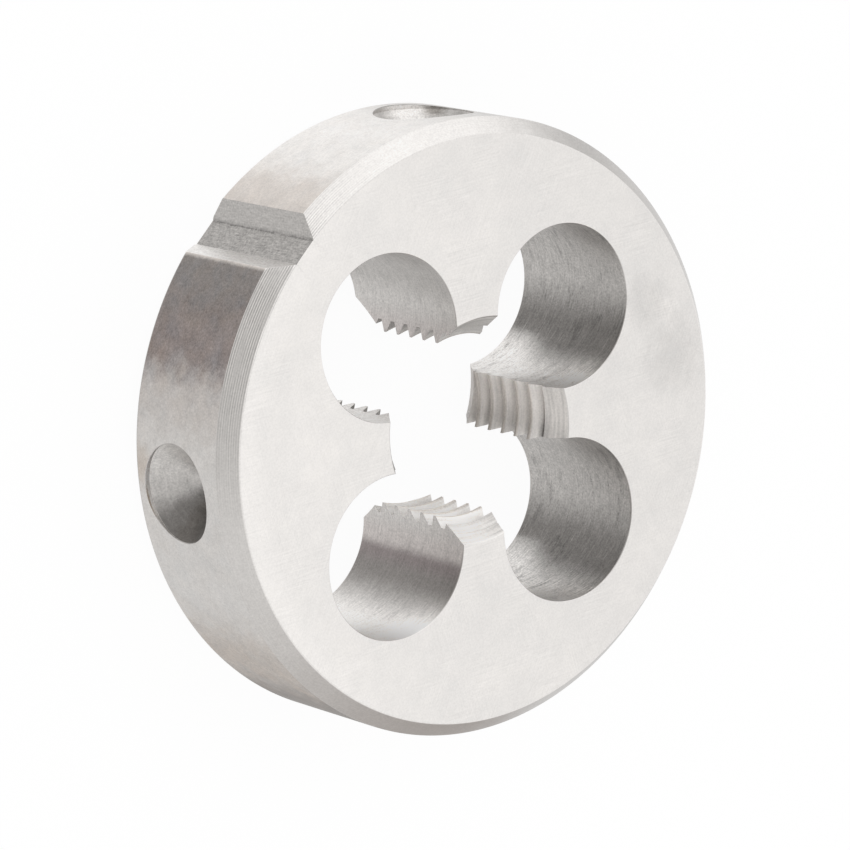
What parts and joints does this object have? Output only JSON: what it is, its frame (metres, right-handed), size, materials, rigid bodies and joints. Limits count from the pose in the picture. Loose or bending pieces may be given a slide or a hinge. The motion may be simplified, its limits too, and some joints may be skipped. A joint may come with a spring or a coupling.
{
  "type": "round threading die",
  "caption": "Flat steel disc with a threaded bore, round chip holes that break into it, and a groove and conical set-screw dimples in the rim.",
  "frame": {"origin": "on the disc's axis, in the plane of its back face", "axes": "+Z along the bore, out of the front face; the adjusting groove in the rim is towards -Y"},
  "size_m": [0.038, 0.0379, 0.01],
  "materials": {
    "ground_steel": "ground tool steel with drilled and tapped inner walls"
  },
  "bodies": {
    "root": {"threading_die": "ground_steel"}
  },
  "joints": []
}
